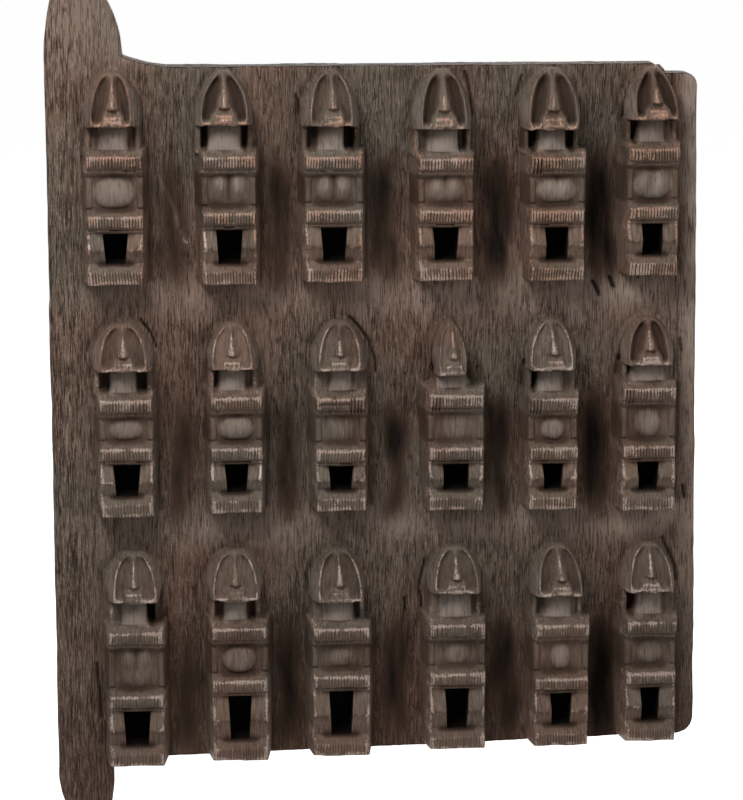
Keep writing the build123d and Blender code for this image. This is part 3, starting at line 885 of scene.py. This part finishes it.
def head_relief(carving, m, look, x, z):
    """Hood over a face with two hollows, a nose and a mouth: its relief, its rubbed parts with painted
    highlights, and its painted shade.
    """
    height = (z - m.chin) / (m.crown - m.chin)
    u = x - m.head_x
    rim = np.interp(height, [0, 0.12, 0.5, 0.8, 1.0], [CHIN, CHIN, 21.5, 14.5, CROWN])
    half = trimmed_half(m, look, u, height)
    face_share = np.clip(height / FACE_TOP, 0, 1)
    face_half = look.face_half * np.sqrt(1 - face_share**2.6)
    face_half = np.maximum(np.minimum(face_half, half - 2.5), 0.01)
    face_x = look.face * (1 - face_share)

    flank = np.where(
        u > face_x, (u - face_x - face_half) / np.maximum(half - face_x - face_half, 0.5),
        (face_x - face_half - u) / np.maximum(half + face_x - face_half, 0.5),
    )
    bulge = np.interp(half - face_half, [4.0, 10.0], [1.9, 1.15])
    hood = rim * (1 - np.clip(flank, 0, 1) ** bulge) ** (1.0 / (0.6 + 0.55 * bulge))
    beyond = np.maximum(np.abs(u) - half, z - m.crown + 2.5)
    hood = np.where(beyond > 0, -beyond / DRAFT, hood)

    nose_x = look.nose * (1 - face_share)
    n = np.abs(u - face_x - nose_x)
    shift = np.sign(u - face_x - nose_x) * nose_x
    core = np.interp(height, [0.0, 0.19, 0.27, 0.31, 0.60, 0.90], [7.5, 6.5, 4.0, 3.2, 1.4, 0.5])
    core *= np.interp(look.hollow, [0.85, 1.1], [1.0, 1.4])
    across = np.clip((n - core) / np.maximum(face_half - shift - core, 1.0), 0, 1)
    bowl = np.sin(pi * across**1.2) ** np.interp(look.hollow, [0.85, 1.05], [0.5, 0.8])
    foot = height - 0.08 * (2 * across - 1) ** 4
    along = step(foot, 0.05, 0.14) * step(FACE_TOP - height, 0.0, 0.17)
    inside = (n < face_half - shift) & (height < FACE_TOP)
    lip = step(height, 0.20, 0.235) * step(0.315 - height, 0.0, 0.015) * (1 - step(n, 4.0, 6.5))
    hollow = carving.face_depth / MM * look.hollow * bowl * along + 3.0 * look.hollow**0.5 * lip
    head = np.where(inside, rim - hollow, hood)

    started = step(height, 0.295, 0.32)
    nose_tip = started * (1 - step(height, 0.36, 0.60))
    crest = started * step(0.90 - height, 0, 0.3)
    head += inside * (1.6 * nose_tip * hump(n, 3.2) + 0.9 * crest * hump(n, 1.3))
    mouth_half = np.interp(height, [0.06, 0.20], [8.5, 6.8])
    mouth = step(height, 0.05, 0.075) * step(0.205 - height, 0, 0.025) * step(mouth_half - n, 0, 1.5)
    head += 1.2 * mouth - 1.3 * hump(height - 0.13, 0.018) * step(mouth_half - 1.5 - n, 0, 1.5)

    # Rubbed places with painted highlights: the rim of the face, the foot of its hollows, the nose, the mouth
    # and the lips.
    on_face = step(height, 0.0, 0.08) * step(FACE_TOP - height, 0, 0.2)
    rim_line = hump(np.abs(u - face_x) - face_half - 0.4, 0.9) * on_face
    foot_line = hump(foot - 0.055, 0.026) * inside * (n > core)
    bright = np.interp(look.hollow, [0.85, 1.05], [1.0, 0.0])
    crest_line = hump(n, 1.3) * crest * (1 - step(height, 0.5 + 0.2 * bright, 0.9))
    crest_line += 0.9 * nose_tip * hump(n, 3.0)
    rim_polish = 0.10 + 0.75 * bright * np.interp(look.hollow, [0.45, 0.70], [0.35, 1.0])
    lips = (hump(height - 0.185, 0.022) + 0.8 * hump(height - 0.075, 0.020)) * step(mouth_half - n, 0, 1.0)
    rubbed_and_glinting = rim_polish * rim_line + 0.8 * foot_line + 0.75 * crest_line
    rubbed_and_glinting += (0.85 - 0.50 * bright) * mouth
    rubbed_and_glinting += 0.8 * lips
    shade = inside * bowl**0.6 * along * np.interp(look.hollow, [0.7, 0.95, 1.1], [0.12, 0.40, 0.66])
    return head, rubbed_and_glinting, shade


def chin_line(m, look, x, seed):
    """Height of the hood's lower edge, which drops at its corners."""
    corner = np.clip((np.abs(x - m.head_x) - look.face_half) / (m.head_half - look.face_half), 0, 1)
    drop = CORNER_DROP * (1 - 0.8 * look.fullness)
    return m.chin + 0.7 * ripple(seed + 1, x, x * 0, 8, 1) - drop * corner**2


def rough_out(carving, m, look, x, z, seed):
    """The figure before its grooves are cut: its relief, and what is rubbed, with painted highlights, and
    painted shade on its head.
    """
    root = carving.root / MM
    chin = chin_line(m, look, x, seed)
    body = body_relief(m, look, x, z + 0.5 * ripple(seed, x, z, 13, 25), seed)
    neck = neck_relief(m, look, x, z)
    web = np.where(z < chin + 1.5, web_relief(m, look, x, z, seed + 8), -root)
    head, rubbed_and_glinting, shade = head_relief(carving, m, look, x, z)
    relief = np.where(z <= m.shoulders + SHOULDER_SLOPE, np.maximum(body, -root), -root)
    beside = (z >= m.shoulders) & (z <= m.chin + 8)
    relief = np.where(beside, np.maximum(relief, np.maximum(neck, web)), relief)
    relief = np.where(z >= chin, np.maximum(relief, head), relief)
    return np.maximum(relief, -root), rubbed_and_glinting, shade


Hatching = namedtuple("Hatching", "bands groove block depth")


def hatching(carving, m, look, x, z, seed):
    """Grooves on the base and the bars, with the block of upright ones at a shoulder bar's end."""
    u = x - m.body_x
    bands = np.zeros(x.shape)
    for low, high in ((m.feet, m.base), (m.hip_band, m.hips), (m.shoulder_band, m.shoulders)):
        bands = np.maximum(bands, step(z, low - 0.3, low + 1.2) * step(high + 0.3 - z, 0, 1.5))
    bands *= step(m.half + 0.5 - np.abs(u), 0, 1)
    comb = u / (carving.hatch_pitch / MM) + 0.45 * ripple(seed + 2, x, z, 7, 60)
    comb += 0.35 * ripple(seed + 3, z * 0 + 5, z, 1, 16)
    groove = np.clip(np.abs(((comb % 1.0) - 0.5) * 2) * 2.2 - 1.1, 0, 1)
    strength = 0.55 + 0.55 * ripple(seed + 4, x, z, 5, 6)

    from_end = np.where(look.block < 0, m.half - u, m.half + u)
    on_bar = step(z, m.shoulder_band - 6, m.shoulder_band - 4) * step(m.shoulders + 0.5 - z, 0, 1.5)
    block = (from_end > 0) * (from_end < abs(look.block)) * on_bar
    coarse = np.clip(2.2 * np.abs(((u / BLOCK_PITCH) % 1.0 - 0.5) * 2) - 0.9, 0, 1)
    slot = (look.block < 0) * hump(z - (m.shoulder_band + m.shoulders) / 2, 1.5) * (block == 0)
    slot *= step(m.half - 2 - np.abs(u), 0, 1)
    groove = np.maximum(np.where(block > 0, coarse, groove * (1 - 0.7 * slot)), 0.75 * slot)
    bands = np.maximum(bands, block)
    depth = bands * groove * np.clip(strength + block + 1.5 * slot, 0.1, 2.0) * carving.hatch_depth / MM
    return Hatching(bands, groove, block, depth)


Places = namedtuple("Places", "torso chest knee legs shin knob on_head on_body")


def figure_places(m, look, x, z, seed):
    """Shares, from 0 to 1, in which each place belongs to a part, and the height of the knees."""
    u_body, u_head = x - m.body_x, x - m.head_x
    in_width = np.abs(u_body) < m.half
    torso = step(z, m.hips, m.hips + 4) * step(m.shoulder_band - 3 - z, 0, 5)
    swell = belly_dome(m, look, x, z) ** 0.7 * np.clip(look.belly / 4, 0.4, 1)
    knee = (m.base + m.hip_band) / 2
    legs = step(z, m.base + 1, m.base + 5) * step(m.hip_band - 1 - z, 0, 3) * in_width
    under_hood = hood_half(m, look, (z - m.chin) / (m.crown - m.chin))
    return Places(
        torso=torso,
        chest=torso * np.maximum(swell, bosom(m, x, z) * look.breasts / 5),
        knee=knee,
        legs=legs,
        shin=legs * step(knee - z, -0.5, 1.5),
        # Specks on the knees that take painted glints.
        knob=hump(z - knee + 1, 2.6) * (ripple(seed + 11, x, z, 1.5, 1.9) > 0.1),
        on_head=(z > chin_line(m, look, x, seed)) & (np.abs(u_head) < under_hood),
        on_body=(z < m.shoulders + SHOULDER_SLOPE) & in_width & (z > m.feet),
    )


def figure_wear_and_glints(m, x, z, seed, places, hatch, ridge, rubbed_and_glinting):
    """Where hands have rubbed the figure, with painted highlights there too: ridges, bars between their
    grooves, knees and face, and painted glints along the bars' top edges and the legs' outer edges.
    """
    across = np.abs(x - m.body_x)
    wear = 0.5 * ridge * (1 - 0.9 * places.torso) + rubbed_and_glinting * (z > m.chin)
    polish = by_row(z, 0.34, 0.44, 0.85) * np.interp(m.body_x, [100, 320], [0.8, 1.0])
    polish = polish * (0.95 + 0.45 * ripple(seed + 7, x + 40, z, 8, 5))
    wear += polish * hatch.bands * (1 - 0.95 * hatch.groove) * (1 - 0.7 * hatch.block)
    ends = hump(across - m.half + 1.5, 1.6) * (0.5 + 0.5 * ripple(seed + 7, x * 4, z * 0 + m.half, 9, 7))
    # Painted glint along each bar's top edge, and rubbed ends.
    for top in (m.hips, m.shoulders):
        edge_glint_and_worn_ends = 0.9 * hump(z - top + 0.8, 0.9) + 0.35 * hatch.bands * ends
        wear += edge_glint_and_worn_ends * (across < m.half) * (1 - hatch.block)
    # Worn outer edges of the legs with painted glints.
    outer_edge_wear_and_glints = 0.6 * hump(across - m.half + 1.0, 1.0) * (1 - places.shin)
    wear += places.legs * (outer_edge_wear_and_glints + 0.4 * places.knob)
    return np.clip(wear * (0.8 + 0.6 * ripple(seed + 7, x, z, 6, 6)), 0, 1)


def beside_the_neck(m, look, x, z, chin):
    """1 in the cuts beside the neck."""
    u = x - m.head_x
    outer = web_edge(m, look, u) - 3.0
    cuts = step(neck_half(m, look, z) + 0.5 - np.abs(u), 1.5, 0)
    cuts = cuts * step(z, m.shoulders + 1, m.shoulders + 6)
    cuts *= np.maximum(step(outer - np.abs(u), -1, 1), neck_cut(look, u) / 9)
    return cuts * step(chin + 1 - z, 0, 1)


def figure_grime_and_shade(m, look, x, z, seed, places, hatch, sunken, shade):
    """Soot and painted shade: hollows, the face's bowls, grooves, the neck cuts and what faces down, round
    the torso's swellings, low on the legs, under the knees and on the figure's sides.
    """
    u = x - m.body_x
    chin = chin_line(m, look, x, seed)
    hollow = sunken * (places.on_head | places.on_body)
    # Painted shade under the chin.
    under = step(m.chin + 1 - z, 0, 1) * step(z, m.shoulders + 3, m.chin - 1)
    grime = np.maximum(hollow, shade * (z > chin)) + 0.35 * under
    # Painted shade in the grooves of the bars and the base.
    grime += by_row(z, 0.50, 0.60, 0.85) * hatch.bands * hatch.groove
    # Painted shade in the cuts beside the neck, darker for deeper cuts.
    streaks = 0.02 + 0.115 * neck_cut(look, x - m.head_x) + 0.22 * ripple(seed + 9, x, z, 2.0, 30)
    # Less shade on the torso, with painted shade round its swellings.
    grime = grime * (1 - 0.6 * places.torso) + 0.2 * (places.torso - places.chest)
    grime = np.maximum(grime, beside_the_neck(m, look, x, z, chin) * streaks)
    # Painted shade in the cleft between the breasts, round them, low on the legs and under the knees.
    beneath = np.clip(m.shoulder_band - UNDER_SLOPE - z, 0, 20)
    cleft = hump(u, 0.9 + 0.12 * beneath) * step(20 - beneath, 0, 4) * places.torso
    around = 0.26 * cleft + 0.10 * places.torso * (1 - places.chest)
    grime += min(look.breasts / 5, 1) * around + 0.09 * places.shin
    grime += 0.25 * places.legs * hump(z - places.knee + 1, 3) * (1 - places.knob)
    # Painted shade on the figure's sides.
    grime += 0.2 * (np.abs(u) > m.half) * (z < m.shoulders)
    return np.clip(grime, 0, 1)


def figure_bleach_and_light(m, look, x, z, places):
    """Where the wood is bare and greyer, with painted light there too: belly and chest, throat and the hood's
    flanks.
    """
    u = np.abs(x - m.head_x)
    # Painted light on the throat, in the shade of the hood.
    throat = step(z, m.shoulders + 2, m.shoulders + 8) * step(m.chin - z, 0, 3)
    throat = throat * step(look.neck / 2 + 1 - u, 0, 2)
    flank = places.on_head * (np.abs(x - m.head_x - look.face) > look.face_half + 2)
    chalky = by_row(z, 0.45, 0.50, 0.65) * np.interp(m.body_x, [20, 400], [0.65, 1.25])
    return np.clip(chalky * places.chest + throat + 0.30 * flank, 0, 1)


def figure_relief(carving, name, x, z):
    """Height of a figure over the plank's face, in mm, and its worn places with painted highlights, its soot
    with painted shade, and its bleached places with painted light.
    """
    m, look = MARKS[name], LOOKS[name]
    seed = 100 + FIGURES.index(name) * 10
    relief, rubbed_and_glinting, shade = rough_out(carving, m, look, x, z, seed)
    cell_x, cell_z = carving.chisel_x / MM, carving.chisel_z / MM
    relief = soften(relief, 0.45 / cell_x, 0.55 / cell_z)
    nearby = soften(relief, 2.2 / cell_x, 2.2 / cell_z)
    around = soften(relief, 5.0 / cell_x, 5.0 / cell_z)
    ridge = np.clip((relief - nearby - 0.4) / 1.3, 0, 1) * np.where(z > m.chin + 3, 0.35, 1.0)
    sunken = np.clip((around - relief) / 4.5, 0, 1)

    hatch = hatching(carving, m, look, x, z, seed)
    relief -= hatch.depth
    tool_marks = 0.22 * ripple(seed + 5, x, z, 1.3, 22) + 0.30 * ripple(seed + 6, x, z, 4.5, 9)
    relief += (relief > 1) * tool_marks
    relief = np.minimum(relief, FACE - CAD_BOX[0][1] / MM - 0.1)

    places = figure_places(m, look, x, z, seed)
    wear = figure_wear_and_glints(m, x, z, seed, places, hatch, ridge, rubbed_and_glinting)
    grime = figure_grime_and_shade(m, look, x, z, seed, places, hatch, sunken, shade)
    return relief, wear, grime, figure_bleach_and_light(m, look, x, z, places)


def leg_window(m, look, rows, columns, x, z):
    """Moves rows and columns of the grid onto the edges of the space between the legs."""
    foot, top = m.base + BASE_SLOPE, m.hip_band - BEVEL
    low, high = np.abs(z[:, 0] - foot).argmin(), np.abs(z[:, 0] - top).argmin()
    z[low, :], z[high, :] = foot, top
    share = np.clip((z - foot) / (top - foot), 0, 1)
    half = (look.gap_foot + (look.gap_top - look.gap_foot) * share) / 2
    middle = (look.gap_top + look.gap_foot) / 4
    left, right = np.abs(x[0] - (m.body_x - middle)).argmin(), np.abs(x[0] - (m.body_x + middle)).argmin()
    near = step(z, foot - 9, foot - 1) * step(top + 9 - z, 0, 8)
    for row in range(rows):
        if near[row, 0] > 0:
            edges = (x[row, 0], m.body_x - half[row, 0], m.body_x + half[row, 0], x[row, -1])
            moved = np.interp(np.arange(columns), (0, left, right, columns - 1), edges)
            x[row] += near[row, 0] * (moved - x[row])
    return low, high, left, right


class GRANARY_OT_carve_figures(bpy.types.Operator):
    """Carve the three rows of ancestor figures"""

    bl_idname = "granary.carve_figures"
    bl_label = "Carve Figures"

    def execute(self, context):
        carving = context.scene.granary_carving
        material = timber_finish("figure_timber", context.scene.granary_colours, HANDLED_WOOD)
        for name in FIGURES:
            mesh, window = self.carve_front(carving, name)
            self.give_depth(mesh, window, carving.root / MM)
            finish_piece(carved_object(f"carved_{name}", mesh), (name,), material)
        return {"FINISHED"}

    def carve_front(self, carving, name):
        """A grid pushed out to the figure's relief, and its cells over the space between the legs."""
        m, look = MARKS[name], LOOKS[name]
        coarse = 1.0
        cell_x, cell_z = coarse * carving.chisel_x / MM, coarse * carving.chisel_z / MM
        left = min(m.body_x - m.half, m.head_x - m.head_half) - SIDE_MARGIN
        right = max(m.body_x + m.half, m.head_x + m.head_half) + SIDE_MARGIN
        low, high = m.feet - END_MARGIN, m.crown + END_MARGIN
        columns = int((right - left) / cell_x) + 1
        rows = int((m.crown + 2 * END_MARGIN - m.feet) / cell_z) + 1

        stock = bmesh.new()
        bmesh.ops.create_grid(stock, x_segments=columns - 1, y_segments=rows - 1, size=1)
        mesh = bpy.data.meshes.new(f"carved_{name}")
        stock.to_mesh(mesh)
        stock.free()
        unit = coordinates(mesh)
        i = np.rint((unit[:, 0] + 1) / 2 * (columns - 1)).astype(int)
        j = np.rint((unit[:, 1] + 1) / 2 * (rows - 1)).astype(int)
        x, z = np.meshgrid(np.linspace(left, right, columns), np.linspace(low, high, rows))
        window = leg_window(m, look, rows, columns, x, z)
        relief, wear, grime, bleach = figure_relief(carving, name, x, z)
        sunk_z = np.where(relief < -1, np.minimum(z, m.crown - 3), z)
        co = np.stack([x[j, i], FACE - relief[j, i], sunk_z[j, i]], axis=1)
        mesh.vertices.foreach_set("co", (co * MM).ravel())
        for layer, values in (("wear", wear), ("grime", grime), ("bleach", bleach)):
            paint_value(mesh, layer, values[j, i])
        paint_value(mesh, "row", j)
        paint_value(mesh, "column", i)
        return mesh, window

    def give_depth(self, mesh, window, root):
        """Opens the space between the legs, and adds the figure's sides and back."""
        low, high, first, last = window
        figure = bmesh.new()
        figure.from_mesh(mesh)
        layers = figure.verts.layers.float
        row_of, column_of, grime_and_shade_of = layers["row"], layers["column"], layers["grime"]

        def between_legs(v):
            return low <= v[row_of] <= high and first <= v[column_of] <= last

        sunk = (FACE + root - 0.01) * MM
        spare = [
            face for face in figure.faces
            if all(v.co.y > sunk for v in face.verts) or all(between_legs(v) for v in face.verts)
        ]
        bmesh.ops.delete(figure, geom=spare, context="FACES")
        rims = [edge for edge in figure.edges if edge.is_boundary]
        # The walls of the space between the legs are painted black as shade.
        for depth, darkness in ((FACE - LEG + DARK_BEHIND, 0.95), (FACE + root + 1, 1.0)):
            grown = bmesh.ops.extrude_edge_only(figure, edges=rims)["geom"]
            rims = [part for part in grown if isinstance(part, bmesh.types.BMEdge) and part.is_boundary]
            for v in {v for edge in rims for v in edge.verts}:
                v.co.y = max(v.co.y, depth * MM)
                v[grime_and_shade_of] = darkness if between_legs(v) else 0.0
        seams = [edge for edge in figure.edges if edge.is_boundary]
        bmesh.ops.triangle_fill(figure, use_beauty=False, use_dissolve=False, edges=seams)
        bmesh.ops.recalc_face_normals(figure, faces=figure.faces)
        figure.to_mesh(mesh)
        figure.free()
        mesh.attributes.remove(mesh.attributes["row"])
        mesh.attributes.remove(mesh.attributes["column"])


# ---- The stage ----
WHITE = (1.0, 1.0, 1.0, 1.0)
FLOOR_REACH = 12.0          # half the width of the floor, in metres
SENSOR_HEIGHT = 36.0        # of the camera, in mm

# Each lamp's name, its place, the place that it shines at, and its width.
LAMPS = (
    ("key", (-0.25, -0.95, 1.42), (0.27, 0.0, 0.45), 0.5),
    ("fill", (1.3, -1.5, 0.9), (0.23, 0.0, 0.36), 1.0),
    ("back", (0.60, 1.80, 1.10), (0.23, 0.0, 0.36), 1.0),
)


class GRANARY_OT_set_stage(bpy.types.Operator):
    """Set up the floor, the lamps and the camera"""

    bl_idname = "granary.set_stage"
    bl_label = "Set Stage"

    def execute(self, context):
        stage = context.scene.granary_stage
        self.lay_floor(stage)
        for name, place, target, width in LAMPS:
            self.hang_lamp(f"{name}_lamp", place, target, width, getattr(stage, f"{name}_power"))
        self.light_room(context, stage)
        self.place_camera(context, stage)
        context.scene.view_settings.view_transform = "Standard"
        return {"FINISHED"}

    def lay_floor(self, stage):
        plane = bmesh.new()
        bmesh.ops.create_grid(plane, x_segments=2, y_segments=2, size=FLOOR_REACH)
        bmesh.ops.translate(plane, verts=plane.verts, vec=(0, 0, CAD_BOX[0][2]))
        mesh = bpy.data.meshes.new("floor")
        plane.to_mesh(mesh)
        plane.free()
        paper = Finish(bpy.data.materials.new("floor_paper"))
        matt = paper.node("ShaderNodeBsdfDiffuse", inputs={"Color": (0.82, 0.81, 0.80, 1.0)})
        strength = self.direct_rays(paper) * stage.floor_glow
        glow = paper.node("ShaderNodeEmission", inputs={"Color": WHITE, "Strength": strength})
        surface = paper.node("ShaderNodeAddShader", inputs={0: matt, 1: glow})
        paper.node("ShaderNodeOutputMaterial", inputs={"Surface": surface})
        mesh.materials.append(paper.owner)
        carved_object("floor", mesh)

    def direct_rays(self, finish):
        """1 for rays that see the backdrop straight, in a reflection or through glass."""
        camera, glossy, through = (
            finish.node("ShaderNodeLightPath", output=f"Is {kind} Ray")
            for kind in ("Camera", "Glossy", "Transmission")
        )
        return (camera + glossy + through).join("MINIMUM", 1.0)

    def hang_lamp(self, name, place, target, width, power):
        lamp = bpy.data.lights.new(name, "AREA")
        lamp.shape = "SQUARE"
        lamp.size = width
        lamp.energy = power
        holder = bpy.data.objects.new(name, lamp)
        holder.location = place
        holder.rotation_euler = (Vector(target) - Vector(place)).to_track_quat("-Z", "Y").to_euler()
        bpy.context.scene.collection.objects.link(holder)

    def light_room(self, context, stage):
        context.scene.world = bpy.data.worlds.new("room")
        room = Finish(context.scene.world)
        strength = self.direct_rays(room) * (1.0 - stage.room_light) + stage.room_light
        glow = room.node("ShaderNodeBackground", inputs={"Color": WHITE, "Strength": strength})
        room.node("ShaderNodeOutputWorld", inputs={"Surface": glow})

    def place_camera(self, context, stage):
        turn, tilt = stage.azimuth, stage.elevation
        gaze = Vector((-sin(turn) * cos(tilt), cos(turn) * cos(tilt), -sin(tilt)))
        eye = bpy.data.cameras.new("camera")
        eye.sensor_fit = "VERTICAL"
        eye.sensor_height = SENSOR_HEIGHT
        eye.lens = stage.lens
        holder = bpy.data.objects.new("camera", eye)
        holder.location = Vector(stage.target) - stage.distance * gaze
        holder.rotation_euler = gaze.to_track_quat("-Z", "Y").to_euler()
        context.scene.collection.objects.link(holder)
        context.scene.camera = holder


class GRANARY_PT_door(bpy.types.Panel):
    """Carved granary door"""

    bl_label = "Granary Door"
    bl_space_type = "VIEW_3D"
    bl_region_type = "UI"
    bl_category = "Granary Door"

    def draw(self, context):
        for operator in OPERATORS:
            self.layout.operator(operator.bl_idname)
        scene = context.scene
        for group in (scene.granary_carving, scene.granary_colours, scene.granary_stage):
            box = self.layout.box()
            for key in group.__annotations__:
                box.prop(group, key)


OPERATORS = (GRANARY_OT_carve_leaf, GRANARY_OT_carve_figures, GRANARY_OT_set_stage)
GROUPS = (GranaryCarving, GranaryColours, GranaryStage)
CLASSES = (*GROUPS, *OPERATORS, GRANARY_PT_door)


def register():
    for cls in CLASSES:
        bpy.utils.register_class(cls)
    bpy.types.Scene.granary_carving = bpy.props.PointerProperty(type=GranaryCarving)
    bpy.types.Scene.granary_colours = bpy.props.PointerProperty(type=GranaryColours)
    bpy.types.Scene.granary_stage = bpy.props.PointerProperty(type=GranaryStage)


def unregister():
    del bpy.types.Scene.granary_stage
    del bpy.types.Scene.granary_colours
    del bpy.types.Scene.granary_carving
    for cls in reversed(CLASSES):
        bpy.utils.unregister_class(cls)


def main():
    register()
    bpy.ops.granary.carve_leaf()
    bpy.ops.granary.carve_figures()
    bpy.ops.granary.set_stage()


if __name__ == "__main__":
    main()
